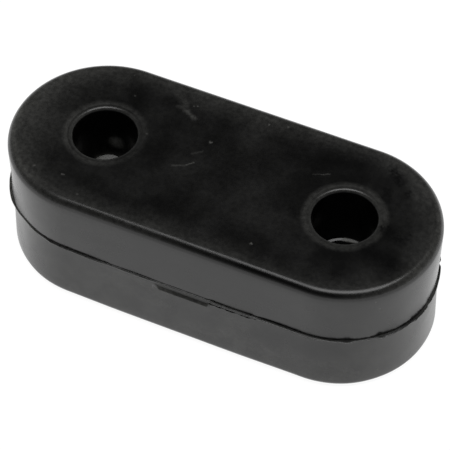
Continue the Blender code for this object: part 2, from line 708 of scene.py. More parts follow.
    def bore_profile(self, web: WebSizes) -> list[ProfilePoint]:
        """Lay out a bore's profile, from the bottom face up through the bore to the top face.

        Args:
            web: The flash at its parting line.

        Returns:
            Its points, with reach measured from the bore's axis.
        """
        bore, block = self.bore, self.block
        ring_edge = bore.lip_edge + bore.ring_width
        mouth = [(bore.collar, 0.0), (ring_edge + bore.ring_slope + bore.ring_margin, 0.0)]
        for i in range(self.fineness.slope_steps + 1):
            share = i / self.fineness.slope_steps
            fall = bore.ring_depth * (1 - math.cos(math.pi * share)) / 2
            mouth.append((ring_edge + bore.ring_slope * (1 - share), fall))
        mouth.append((bore.lip_edge + bore.ring_width * self.RING_FLOOR, bore.ring_depth))
        mouth += [(bore.lip_edge - out, bore.ring_depth + down) for out, down in self.turned(bore.lip_fillet)]
        throat = bore.ring_depth + bore.lip_fillet
        half = web.thickness / 2
        points = [ProfilePoint(reach, fall) for reach, fall in mouth]
        points += self.leaning((bore.radius, throat), (bore.radius, block.parting - half))
        for level, share in self.WEB:
            points.append(ProfilePoint(bore.radius, block.parting + half * level, flash=share, hang=1.0))
        points += self.leaning((bore.radius, block.parting + half), (bore.radius, block.height - throat))
        return points + [ProfilePoint(reach, block.height - fall) for reach, fall in reversed(mouth)]

    def profiles_object(self) -> bpy.types.Object:
        """Make the object that holds the three profiles as loose lines.

        Returns:
            The object, whose points carry what the tree reads.
        """
        laid = {
            Sweep.OUTLINE: (self.block.cap_reach, self.wall_profile()),
            Sweep.LEFT_BORE: (self.bore.collar, self.bore_profile(self.left_web)),
            Sweep.RIGHT_BORE: (self.bore.collar, self.bore_profile(self.right_web)),
        }
        places: list[tuple[float, float, float]] = []
        edges: list[tuple[int, int]] = []
        carried: dict[str, list[float]] = {name: [] for name in ("sweep", *SHARES)}
        for sweep, (path_reach, points) in laid.items():
            first = len(places)
            edges += [(first + i, first + i + 1) for i in range(len(points) - 1)]
            for point in points:
                places.append(((point.reach - path_reach) * MM, -point.z * MM, 0.0))
                carried["sweep"].append(float(sweep.value))
                for name in SHARES:
                    carried[name].append(getattr(point, name))
        mesh = bpy.data.meshes.new("profiles")
        mesh.from_pydata(places, edges, [])
        for name, values in carried.items():
            mesh.attributes.new(name, "FLOAT", "POINT").data.foreach_set("value", values)
        return put("profiles", mesh)

    def inputs(self) -> dict[str, float | int]:
        """Gather the tree's named inputs.

        Returns:
            Their values, lengths in metres.
        """
        block, fin, strip = self.block, self.fin, self.strip
        made: dict[str, float | int] = {
            "End Centre": block.end_centre * MM,
            "Height": block.height * MM,
            "Cap Reach": block.cap_reach * MM,
            "Collar Radius": self.bore.collar * MM,
            "Outline Steps": self.fineness.outline_steps,
            "Bore Steps": self.fineness.bore_steps,
            "Fin Reach": fin.reach * MM,
            "Fin Tear": fin.tear,
            "Corner Tear": fin.corner_tear,
            "Fin Wander": fin.wander * MM,
            "Nick Depth": fin.nick * MM,
            "Strip Reach": strip.reach * MM,
            "Strip Tear": strip.tear,
            "Tail Reach": strip.tail_reach * MM,
            "Seed": self.seed,
        }
        for side, web in (("Left", self.left_web), ("Right", self.right_web)):
            made[f"{side} Web Reach"] = web.reach * MM
            made[f"{side} Web Shift"] = web.shift * MM
            made[f"{side} Web Droop"] = web.droop
            made[f"{side} Tongue Reach"] = web.tongue * MM
            made[f"{side} Web Drop"] = web.drop * MM
            made[f"{side} Side Drop"] = web.side_drop * MM
        return made

    def build(self, material: bpy.types.Material) -> bpy.types.Object:
        """Sweep the skin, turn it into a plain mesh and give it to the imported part.

        Args:
            material: Finish of the rubber.

        Returns:
            The finished piece.
        """
        source = self.profiles_object()
        tree = SkinTree(self, material).tree
        modifier = source.modifiers.new("moulded_skin", "NODES")
        modifier.node_group = tree
        sockets = {item.name: item.identifier for item in tree.interface.items_tree if item.in_out == "INPUT"}
        for name, value in self.inputs().items():
            modifier[sockets[name]] = value
        evaluated = source.evaluated_get(bpy.context.evaluated_depsgraph_get())
        mesh = bpy.data.meshes.new_from_object(evaluated)
        mesh.name = self.NAME
        source.modifiers.remove(modifier)
        bpy.data.objects.remove(source, do_unlink=True)
        bpy.data.node_groups.remove(tree)
        self.close(mesh)
        piece = put(self.NAME, mesh)
        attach(piece, "root")
        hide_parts(CAD_NODE)
        return piece

    def close(self, mesh: bpy.types.Mesh) -> None:
        """Check that the skin is closed, face it outwards and shade it smooth.

        Args:
            mesh: The skin.
        """
        form = bmesh.new()
        form.from_mesh(mesh)
        open_edges = sum(1 for edge in form.edges if len(edge.link_faces) != 2)
        bmesh.ops.recalc_face_normals(form, faces=form.faces)
        if form.calc_volume(signed=True) < 0:
            bmesh.ops.reverse_faces(form, faces=form.faces)
        form.to_mesh(mesh)
        form.free()
        if open_edges:
            log.warning("%s has %d open edges", self.NAME, open_edges)
        for name in ("sweep", *SHARES):
            if name in mesh.attributes:
                mesh.attributes.remove(mesh.attributes[name])
        mesh.shade_smooth()
        mesh.set_sharp_from_angle(angle=self.SHARP_ANGLE)


class SkinTree:
    """Geometry Nodes tree that sweeps the profiles into one closed skin."""

    MERGE_DISTANCE = 0.001

    # Steepness with which the two halves of the circle are drawn apart
    SPLIT = 1e7

    # How near a profile's number has to be to count as the wanted one
    NUMBER_MARGIN = 0.1

    SLOW_TEAR = Noise(180.0, 0.0, 3.0, span=(0.35, 0.65), smooth=False)
    FAST_TEAR = Noise(620.0, 9.0, 4.0, 0.65, (0.38, 0.66), smooth=False)
    WANDER = Noise(140.0, 5.0)
    STRIP_TEAR = Noise(500.0, 21.0, 3.0)
    TAIL_TEAR = Noise(900.0, 33.0, span=(0.36, 0.56, 0.15, 1.0), smooth=False)
    WEB_TEAR = Noise(420.0, 40.0, 3.0, span=(0.3, 0.7, 0.88, 1.04), smooth=False)

    def __init__(self, hanger: MouldedBlock, material: bpy.types.Material) -> None:
        """Build the tree.

        Args:
            hanger: The moulding whose sizes it takes.
            material: Finish that the skin gets.
        """
        self.hanger = hanger
        self.tree = bpy.data.node_groups.new("moulded_skin", "GeometryNodeTree")
        face = self.tree.interface
        face.new_socket(name="Geometry", in_out="INPUT", socket_type="NodeSocketGeometry")
        for name, value in hanger.inputs().items():
            kind = "NodeSocketInt" if isinstance(value, int) else "NodeSocketFloat"
            face.new_socket(name=name, in_out="INPUT", socket_type=kind)
        face.new_socket(name="Geometry", in_out="OUTPUT", socket_type="NodeSocketGeometry")
        self.graph = graph = Graph(self.tree)
        self.sockets = graph.node("NodeGroupInput").outputs
        outline = self.outline_path()
        walls = self.swept_walls(outline)
        bores = [self.swept_bore(sweep) for sweep in (Sweep.LEFT_BORE, Sweep.RIGHT_BORE)]
        skin = self.together(walls, *bores, *self.caps(outline))
        feeds = {"Geometry": skin, "Distance": self.MERGE_DISTANCE * MM}
        merged = graph.node("GeometryNodeMergeByDistance", feeds)
        real = graph.node("GeometryNodeRealizeInstances", {0: merged.outputs[0]})
        dressed = graph.node("GeometryNodeSetMaterial", {"Geometry": real.outputs[0], "Material": material})
        graph.node("NodeGroupOutput", {0: dressed.outputs[0]})

    def given(self, name: str) -> Value:
        """Read one of the tree's named inputs."""
        return Value(self.graph, self.sockets[name])

    def position(self) -> Place:
        """Read each point's place."""
        return Place(self.graph, self.graph.output("GeometryNodeInputPosition"))

    def together(self, *parts: Socket) -> Socket:
        """Join parts of the geometry, in order.

        Args:
            parts: What is joined.

        Returns:
            All of them as one.
        """
        made = self.graph.node("GeometryNodeJoinGeometry")
        for part in parts:
            self.graph.feed(made.inputs[0], part)
        return made.outputs[0]

    def shifted(self, part: Socket, offset: Place) -> Socket:
        """Shift each point by its own offset."""
        return self.graph.output("GeometryNodeSetPosition", {"Geometry": part, "Offset": offset})

    def moved(self, part: Socket, x: Feed = 0.0, z: Feed = 0.0) -> Socket:
        """Move a part along the block and up."""
        feeds = {"Geometry": part, "Translation": self.graph.joined(x, 0.0, z)}
        return self.graph.output("GeometryNodeTransform", feeds)

    def circle(self, steps: Feed, radius: str) -> Socket:
        """Make a circle about the origin, with a named input for its radius."""
        feeds = {"Resolution": steps, "Radius": self.given(radius)}
        return self.graph.output("GeometryNodeCurvePrimitiveCircle", feeds, mode="RADIUS")

    def level(self, curve: Socket) -> Socket:
        """Turn the curve's normals so that a profile stays upright along it."""
        return self.graph.output("GeometryNodeSetCurveNormal", {0: curve}, mode="Z_UP")

    def outline_path(self) -> Socket:
        """Stretch a circle into the outline of the flat face, with its points evenly apart.

        Returns:
            The outline as a curve.
        """
        circle = self.circle(self.hanger.fineness.circle_steps, "Cap Reach")
        across, _, _ = self.graph.parted(self.position())
        side = (across * self.SPLIT).at_least(-1.0).at_most(1.0)
        spread = self.shifted(circle, self.graph.joined(side * self.given("End Centre")))
        feeds = {"Curve": spread, "Count": self.given("Outline Steps")}
        return self.level(self.graph.output("GeometryNodeResampleCurve", feeds, mode="COUNT"))

    def collar(self) -> Socket:
        """Make the circle in the flat face that a bore's collar starts from."""
        return self.level(self.circle(self.given("Bore Steps"), "Collar Radius"))

    def swept(self, path: Socket, sweep: Sweep) -> Socket:
        """Sweep one of the profiles along its path.

        Args:
            path: The path.
            sweep: Which profile.

        Returns:
            The mesh.
        """
        graph = self.graph
        number = graph.attribute("sweep")
        wanted = graph.math("COMPARE", number, float(sweep.value), self.NUMBER_MARGIN)
        feeds = {"Geometry": self.sockets["Geometry"], "Selection": wanted}
        picked = graph.node("GeometryNodeSeparateGeometry", feeds, domain="POINT")
        profile = graph.output("GeometryNodeMeshToCurve", {0: picked.outputs[0]})
        return graph.output("GeometryNodeCurveToMesh", {"Curve": path, "Profile Curve": profile})

    def swept_walls(self, outline: Socket) -> Socket:
        """Sweep the wall and pull its flash out, torn along the edge.

        Args:
            outline: The path.

        Returns:
            The wall's mesh.
        """
        graph, given, fin, wall = self.graph, self.given, self.hanger.fin, self.hanger.wall
        mesh = self.swept(outline, Sweep.OUTLINE)
        x, y, _ = graph.parted(self.position())
        centre = given("End Centre")
        past = x - x.at_most(centre).at_least(-centre)
        outward = graph.vector("NORMALIZE", graph.joined(past, y))
        flat = graph.joined(x, y)
        flash = graph.attribute("flash")
        strip, tail = self.strip_widths(flat, x, y)
        out = flash * self.fin_width(flat) + graph.attribute("tab") * strip + graph.attribute("tail") * tail
        for name, patches in (("waist", wall.waists), ("lower", wall.swellings), ("flare", fin.flares)):
            out = out + graph.attribute(name) * self.patched(flat, patches, 0.0)
        nicked = self.faded(x, fin.right_nick)
        nicked = nicked + self.faded(x, fin.left_nick[0]) * self.faded(x, fin.left_nick[1])
        out = out - graph.attribute("nick") * (nicked * given("Nick Depth"))
        wander = (graph.noise(flat, self.WANDER, given("Seed")) - 0.5) * given("Fin Wander")
        return self.shifted(mesh, outward * out + graph.joined(z=flash * wander))

    def faded(self, value: Value, fade: Fade, smooth: bool = True) -> Value:
        """Put a length in metres through a fade that is given in millimetres."""
        return value.ramp(*(side * MM for side in fade), smooth=smooth)

    def patched(self, flat: Place, patches: Sequence[Patch], size: Feed) -> Feed:
        """Blend the sizes of some stretches into the size around them.

        Args:
            flat: The place, seen from above.
            patches: The stretches.
            size: The size around them, in metres.

        Returns:
            The size at the place, in metres.
        """
        for patch in patches:
            away = flat.away_from((patch.place[0] * MM, patch.place[1] * MM, 0.0))
            size = self.faded(away, (patch.edge, patch.core)).mix(size, patch.amount * MM)
        return size

    def fin_width(self, flat: Place) -> Value:
        """Work out how wide the fin is at a place.

        Args:
            flat: The place, seen from above.

        Returns:
            The fin's width.
        """
        graph, given, fin = self.graph, self.given, self.hanger.fin
        wide = self.patched(flat, fin.stretches, given("Fin Reach"))
        corner = self.patched(flat, (fin.corner,), 0.0) * (1 / MM)
        slow = graph.noise(flat, self.SLOW_TEAR, given("Seed")) * given("Fin Tear")
        fast = graph.noise(flat, self.FAST_TEAR, given("Seed")) * given("Corner Tear")
        return wide * (1.0 - corner.mix(slow, fast))

    def strip_widths(self, flat: Place, x: Value, y: Value) -> tuple[Value, Value]:
        """Work out how far the torn strip and its tail stand out at a place.

        Args:
            flat: The place, seen from above.
            x: How far along the block it lies.
            y: How far it lies from the line through the holes.

        Returns:
            The strip's width and the tail's width there.
        """
        graph, given, strip = self.graph, self.given, self.hanger.strip
        (root_start, root_end), (edge_start, edge_end) = strip.root, strip.edge
        front = graph.math("LESS_THAN", y, 0.0)
        start = self.faded(x, (root_start, edge_start), smooth=False)
        end = self.faded(x, (root_end, edge_end), smooth=False)
        kept = 1.0 - graph.noise(flat, self.STRIP_TEAR, given("Seed")) * given("Strip Tear")
        tail = self.faded(x, (edge_end, root_end))
        tail = tail * self.faded(x, (strip.tail_end, strip.tail_end - strip.tail_taper)) * front
        ragged = graph.noise(flat, self.TAIL_TEAR, given("Seed"))
        return start * end * front * kept * given("Strip Reach"), tail * ragged * given("Tail Reach")

    def swept_bore(self, sweep: Sweep) -> Socket:
        """Sweep one bore round its axis and draw its flash inwards.

        Args:
            sweep: Which bore.

        Returns:
            The bore's mesh.
        """
        graph, given, bore = self.graph, self.given, self.hanger.bore
        left = sweep is Sweep.LEFT_BORE
        side, sign = ("Left", -1.0) if left else ("Right", 1.0)
        web = self.hanger.left_web if left else self.hanger.right_web
        mesh = self.swept(self.collar(), sweep)
        x, y, _ = graph.parted(self.position())
        flat = graph.joined(x, y)
        outward = graph.vector("NORMALIZE", flat)
        far = (math.cos(self.hanger.far_side), math.sin(self.hanger.far_side), 0.0)
        facing = graph.vector("DOT_PRODUCT", outward, far)
        away = graph.math("ARCCOSINE", facing)
        tongue = away.ramp(web.tongue_half, web.tongue_half - web.tongue_slant)
        width = facing * given(f"{side} Web Shift") + given(f"{side} Web Reach")
        width = width + tongue * given(f"{side} Tongue Reach")
        width = width * graph.noise(flat, self.WEB_TEAR, given("Seed") + sign) * graph.attribute("flash")
        aside = away / web.tongue_half
        hung = (aside * aside).at_most(1.0) * given(f"{side} Side Drop") + given(f"{side} Web Drop")
        sag = width * -given(f"{side} Web Droop") - hung * graph.attribute("hang")
        near = graph.vector("LENGTH", flat)
        near = self.faded(near, (bore.collar - bore.squeeze_margin, bore.squeeze_edge))
        strain = graph.joined(
            x * -bore.squeeze[0] + sign * bore.outset * MM,
            y * -bore.squeeze[1] + bore.setback * MM,
        )
        drawn = self.shifted(mesh, strain * near + outward * -width + graph.joined(z=sag))
        return self.moved(drawn, given("End Centre") * sign)

    def caps(self, outline: Socket) -> tuple[Socket, Socket]:
        """Fill the flat faces between the outline and the two collars.

        Args:
            outline: The outer edge of both faces.

        Returns:
            The top face and the bottom face.
        """
        collar = self.collar()
        centre = self.given("End Centre")
        edges = self.together(outline, self.moved(collar, centre), self.moved(collar, -centre))
        face = self.graph.output("GeometryNodeFillCurve", {"Curve": edges}, mode="TRIANGLES")
        bottom = self.graph.output("GeometryNodeFlipFaces", {"Mesh": face})
        return self.moved(face, z=self.given("Height")), bottom


@dataclass(frozen=True)
class Mark:
    """A mark on the rubber, a short stroke between two places, with width as half its breadth."""

    start: tuple[float, float, float]
    end: tuple[float, float, float]
    width: float
    strength: float


def stroke(start: tuple[float, float], end: tuple[float, float], width: float, strength: float) -> Mark:
    """Make a mark on the top face between two places, seen from above."""
    height = BlockSizes().height
    return Mark((*start, height), (*end, height), width, strength)


def spot(x: float, y: float, width: float, strength: float) -> Mark:
    """Make a round mark on the top face."""
    return stroke((x, y), (x, y), width, strength)


MARKS = {
    MarkKind.DUST_AND_GLINT: (
        spot(-5.05, 5.91, 0.26, 0.62),
        spot(-30.76, -11.71, 0.24, 0.42),
        stroke((-25.46, -11.45), (-25.1, -11.4), 0.15, 0.4),
        spot(-21.02, -14.47, 0.24, 0.3),
        spot(-10.66, 12.68, 0.17, 0.55),
        spot(-11.3, 12.4, 0.15, 0.35),
        spot(2.6, 13.92, 0.2, 0.4),
        spot(5.9, 14.75, 0.2, 0.4),
        spot(10.72, -11.97, 0.24, 0.5),
        spot(-16.09, 3.08, 0.22, 0.3),
        spot(-21.79, 10.2, 0.2, 0.22),
        spot(-24.1, 14.68, 0.2, 0.22),
        stroke((-17.67, 14.95), (-15.66, 14.09), 0.9, 0.05),
        stroke((-15.66, 14.09), (-13.18, 12.64), 0.8, 0.09),
        stroke((-13.18, 12.64), (-12.07, 10.86), 0.65, 0.16),
        stroke((-12.07, 10.86), (-10.01, 9.77), 0.42, 0.25),
        stroke((-13.89, 11.15), (-12.59, 11.38), 0.4, 0.13),
        # The next two marks are painted glints on the tail under the parting line
        Mark((6.87, -17.3, 12.7), (6.95, -17.3, 12.7), 0.14, 1.0),
        Mark((14.1, -17.3, 12.7), (14.3, -17.3, 12.7), 0.17, 1.0),
        Mark((34.2, -13.1, 23.4), (34.2, -13.1, 23.6), 0.16, 0.5),
        Mark((34.6, -12.4, 21.6), (34.7, -12.3, 21.3), 0.16, 0.5),
        Mark((35.0, -11.9, 3.55), (35.0, -11.9, 3.55), 0.16, 0.6),
        # A painted glint on the left bore's far wall
        Mark((-23.67, 5.8, 17.3), (-23.67, 5.8, 17.0), 1.2, 0.85),
        # The next two marks are a painted highlight on the flash in the left bore
        Mark((-23.3, 5.1, 12.95), (-24.9, 4.7, 13.2), 0.8, 1.8),
        Mark((-24.9, 4.7, 13.2), (-26.2, 3.8, 12.9), 0.8, 1.8),
        # A painted highlight on the flash in the right bore
        Mark((23.3, 5.5, 12.8), (21.3, 5.4, 12.85), 0.45, 2.0),
        # A painted highlight on the fin's thick edge at the front right
        Mark((27.9, -17.0, 13.1), (29.8, -16.3, 13.1), 0.25, 1.0),
    ),
    MarkKind.SCRATCH: (
        stroke((-8.9, -1.75), (-6.91, -0.85), 0.2, 0.17),
        stroke((-6.91, -0.85), (-5.8, 0.4), 0.17, 0.3),
        stroke((-6.86, 2.15), (-5.49, 3.34), 0.24, 0.11),
        stroke((14.2, 6.62), (15.5, 7.14), 0.12, 0.14),
        stroke((15.5, 7.14), (16.79, 7.8), 0.13, 0.24),
    ),
    MarkKind.STAIN: (
        stroke((26.5, 13.2), (28.5, 11.2), 0.95, 1.2),
        stroke((27.2, 8.6), (28.1, 6.6), 0.9, 1.2),
        spot(30.9, 9.3, 0.8, 1.0),
        stroke((30.8, 0.5), (33.2, -0.6), 1.3, 1.2),
        spot(34.5, 1.2, 0.7, 1.0),
        stroke((29.6, -5.0), (33.6, -5.9), 1.8, 1.0),
        stroke((14.4, -1.9), (14.8, -2.9), 0.8, 0.7),
        stroke((14.0, 12.6), (23.0, 12.9), 2.2, 0.5),
        Mark((32.1, -14.3, 4.9), (32.4, -14.1, 4.9), 0.2, 0.9),
        Mark((-1.5, -17.2, 8.4), (5.3, -17.2, 7.2), 2.2, 0.6),
        Mark((-30.2, -15.6, 16.2), (-29.4, -15.8, 15.4), 0.8, 0.9),
        Mark((14.5, -17.2, 8.6), (24.8, -17.0, 9.6), 1.9, 0.7),
    ),
}


@dataclass(frozen=True)
class TopBloom:
    """A soft round patch of bloom on the top face.

    Attributes:
        middle: Its middle, with the first side already shortened.
        edge: Distance at which it ends.
        core: Distance within which it is full.
        share: Share of the middle's bloom that it has.
        shortening: Factor on lengths along the block, which draws it out that way.
    """

    middle: tuple[float, float]
    edge: float
    core: float
    share: float
    shortening: float = 1.0


@dataclass(frozen=True)
class BloomPlaces:
    """Where the bloom, the painted light and the plain lightening lie, as fades in millimetres.

    A name that starts with x, y or z is a fade along the block, across it or upwards. The others go
    by the distance past the flat face's edge, from the wall or from the parting line.
    """

    edge: Fade = (-4.3, 0.3)
    edge_stray: tuple[float, float] = (-2.0, 4.0)
    y_edge: Fade = (-12.0, 10.0, 0.7, 1.0)
    x_edge: Fade = (31.0, 36.0, 1.0, 0.58)
    x_front_right: Fade = (4.0, 16.0)
    y_front_right: Fade = (-4.0, -12.0)
    front_right_loss: float = 0.3
    x_left: Fade = (-21.0, -34.0)
    left_stray: float = 5.0
    x_behind: Fade = (29.0, 34.0)
    y_behind: Fade = (-6.0, 4.0)
    top: tuple[TopBloom, ...] = (
        TopBloom((2.5, -2.0), 15.0, 4.0, 1.0, 0.7),
        TopBloom((-27.5, 11.5), 5.5, 1.1, 1.4),
        TopBloom((1.5, 10.5), 8.5, 1.7, 1.4),
        TopBloom((30.6, 3.8), 3.4, 0.68, 1.4),
    )
    # Shelf: a painted highlight just inside the rim, which widens the rim's highlight
    shelf: Fade = (-0.8, 0.0)
    shelf_highlight_share: float = 0.3
    # Rim: lighter on its left part and right end
    on_rim: Fade = (0.4, 0.85)
    x_rim_left: Fade = (14.0, -16.0)
    x_rim_right: Fade = (27.0, 34.0)
    x_rim_far_left: Fade = (-22.0, -36.0)
    # Back half of the rim and its two ends: a painted sheen
    y_rim_far: Fade = (-12.0, -5.0)
    x_left_end: Fade = (-30.0, -36.0)
    y_left_end: Fade = (-12.0, -4.0)
    left_end_share: float = 0.6
    x_right_end: Fade = (31.0, 37.0)
    y_right_end: Fade = (-14.0, -8.0)
    right_end_share: float = 0.55
    # Ridge: a painted highlight on the left end's front rim
    ridge: tuple[Fade, Fade] = ((0.2, 0.7), (1.45, 0.95))
    x_ridge: Fade = (-26.0, -31.0)
    y_ridge: Fade = (2.0, -3.0)
    # Wall: a painted reflection of the floor, mostly low, towards the ends and in patches
    on_wall: Fade = (-0.35, 0.0)
    z_wall: Fade = (2.0, -2.0, 0.1, 1.0)
    x_wall: Fade = (8.0, 24.0, 0.0, 0.4)
    wall_middle: float = 4.0
    wall_patchy: Fade = (0.36, 0.64, 0.5, 1.5)
    # Fin and strip: lighter at the fin's two ends and on the torn strip's face
    on_fin: Fade = (0.34, 0.22)
    x_fin_left: Fade = (-25.0, -36.0, 1.0, 10.0)
    x_fin_right: Fade = (38.8, 39.8, 0.0, 3.0)
    strip_drop: float = 0.8
    z_strip: Fade = (0.75, 0.5)
    on_strip: Fade = (0.0, 0.12)
    x_strip: Fade = (5.9, 5.2)


@dataclass(frozen=True)
class LipPlaces:
    """Where the bloom lies on the lips and the rings round them, and where a painted shade dims it in the
    sunk ring, as fades in millimetres.

    A name that starts with x is a fade along the block. The others go by the distance from the
    bore's wall, from the collar, from the ring or from the ring's middle.
    """

    inner: Fade = (0.05, 0.2)
    collar_margin: float = 0.3
    ring_margin: float = 0.3
    # Painted shade in the sunk ring's middle: its half width and, along the block, the share of bloom left
    # there
    groove_half: float = 0.3
    x_left_groove_shade: Fade = (-27.0, -24.0, 0.3, 0.55)
    x_right_groove_shade: Fade = (-10.0, 10.0, 0.0, 0.3)
    x_left_lip: Fade = (-21.0, -17.0, 1.2, 0.55)
    x_right_lip: Fade = (0.0, 10.0, 0.0, 0.75)


@dataclass(frozen=True)
class RubberFinish:
    """Moulded black rubber with a soft sheen, dusty bloom, scuffs and worn rims.

    Each colour named after a place is added there: dry dust as bloom on the top face and the lips,
    painted highlights on the ridge and the shelf inside the rim, a painted sheen on the rim's back
    and ends, a painted reflection of the floor on the wall, and a plain lightening on the rest of
    the rim, the fin's ends and the torn strip.

    Attributes:
        deep: Colour where it is cleanest.
        worn: Colour where it is handled.
        dust: Colour of dust and dry scratches, also given to the glints and highlights painted among the dust
            marks.
        far_rim_sheen: Painted sheen on the rounded rim away from the front, and at both ends.
        ridge_highlight: Painted highlight along the ridge of the left end's front rim.
        warmth: Share of the colour that its blue part has.
        bore: Colour inside the bores, darker than the cleanest rubber: painted shade.
        smooth: Roughness where it is cleanest.
        rough: Roughness where it is handled.
        wall_start: How far inside the wall its own finish is full.
        wall_loss: Share of the colour and part of the roughness that the wall lacks.
        bore_shade_fade: Fade from the lip's colour to the bore's painted shade, by the distance from its
            wall.
        rim_worn: Fade of a rim's wear, by the distance past the flat face's edge.
        rim_height: How far under a rim its wear starts, and how far under its top it is full.
        rim_rough: Roughness that a worn rim adds.
        dust_rough: Roughness that dust adds.
        mark_warp: Scale and reach of the noise that makes spots and scratches ragged.
        stain_warp: The same for stains.
        mark_edge: How far a mark's edge fades out, in its widths.
    """

    deep: float = 0.0013
    worn: float = 0.0052
    dust: float = 0.11
    # Bloom along the top face's edge, and a painted highlight on the shelf just inside the rim
    edge_bloom_and_highlight: float = 0.0135
    left_bloom: float = 0.0105
    # Painted reflection of the floor on the wall
    painted_wall_reflection: float = 0.0135
    lip_bloom: float = 0.012
    # Lightening of the rounded rim
    rim_lightening: float = 0.0105
    # Painted sheen on the rim's back half and ends
    far_rim_sheen: float = 0.018
    # Lightening of the fin's ends
    fin_lightening: float = 0.005
    # Painted highlight on the ridge of the left end's front rim
    ridge_highlight: float = 0.012
    # Lightening of the torn strip's face
    strip_lightening: float = 0.009
    middle_bloom: float = 0.0024
    warmth: float = 0.93
    # Painted shade inside the bores
    bore: float = 0.0008
    smooth: float = 0.28
    rough: float = 0.35
    wall_start: float = 0.5
    wall_loss: tuple[float, float] = (0.7, 0.07)
    bore_shade_fade: Fade = (0.15, -0.05)
    rim_worn: Fade = (-0.6, 1.2)
    rim_height: tuple[float, float] = (0.6, 0.3)
    rim_rough: float = 0.01
    dust_rough: float = 0.2
    grain_height: float = 0.0022
    wave_height: float = 0.05
    scratch_depth: float = 0.01
    mark_warp: tuple[float, float] = (2.2, 0.5)
    stain_warp: tuple[float, float] = (1.0, 2.6)
    mark_edge: float = 1.7
    places: BloomPlaces = field(default_factory=BloomPlaces)
    lips: LipPlaces = field(default_factory=LipPlaces)

    IOR = 1.5
    MOTTLE = Noise(0.13, 1.0, 3.0, 0.55, (0.36, 0.66))
    FLECK = Noise(1.3, 6.0, 4.0, 0.7, (0.3, 0.7, 0.6, 1.4))
    GRAIN = Noise(4.0, 2.0, 3.0)
    WAVE = Noise(0.14, 4.0, 1.0)

    def material(self, block: BlockSizes, bore: BoreSizes) -> bpy.types.Material:
        """Build the finish.

        Args:
            block: Sizes that place the worn rims.
            bore: Sizes that place the worn lips.

        Returns:
            The material.
        """
        made = bpy.data.materials.new("black_rubber_moulding")
        made.use_nodes = True
        graph = Graph(made.node_tree)
        skin = RubberSkin(graph, self, block, bore)
        mottle = graph.noise(skin.place, self.MOTTLE)
        scratch, stain = skin.marks(MarkKind.SCRATCH), skin.marks(MarkKind.STAIN)
        # Dust marks and scratches turn pale; the dust marks also hold painted glints and highlights
        pale = skin.marks(MarkKind.DUST_AND_GLINT).at_least(scratch)
        side = skin.outline.ramp(block.cap_reach, block.half_width - self.wall_start)
        colour = mottle.mix(self.deep, self.worn) * (1.0 - side * self.wall_loss[0])
        colour = (colour + skin.bloom() + skin.lips()) * (1.0 - stain)
        colour = colour * graph.noise(skin.place, self.FLECK)
        # Painted shade inside the bores: the colour there turns darker than the cleanest rubber
        colour = (skin.axis - bore.radius).ramp(*self.bore_shade_fade).mix(colour, self.bore)
        colour = pale.mix(colour, self.dust)
        rough = mottle.mix(self.smooth, self.rough) - side * self.wall_loss[1]
        rough = rough + skin.rim_wear() * self.rim_rough + pale * self.dust_rough
        shares = {0: colour, 1: colour, 2: colour * self.warmth}
        tint = graph.output("ShaderNodeCombineColor", shares)
        height = graph.noise(skin.place, self.GRAIN) * self.grain_height
        height = height + graph.noise(skin.place, self.WAVE) * self.wave_height
        height = height - scratch * self.scratch_depth
        bump = graph.output("ShaderNodeBump", {"Strength": 1.0, "Distance": MM, "Height": height})
        feeds = {"Base Color": tint, "Roughness": rough, "Normal": bump, "Metallic": 0.0, "IOR": self.IOR}
        shader = graph.node("ShaderNodeBsdfPrincipled", feeds)
        graph.node("ShaderNodeOutputMaterial", {"Surface": shader.outputs[0]})
        return made


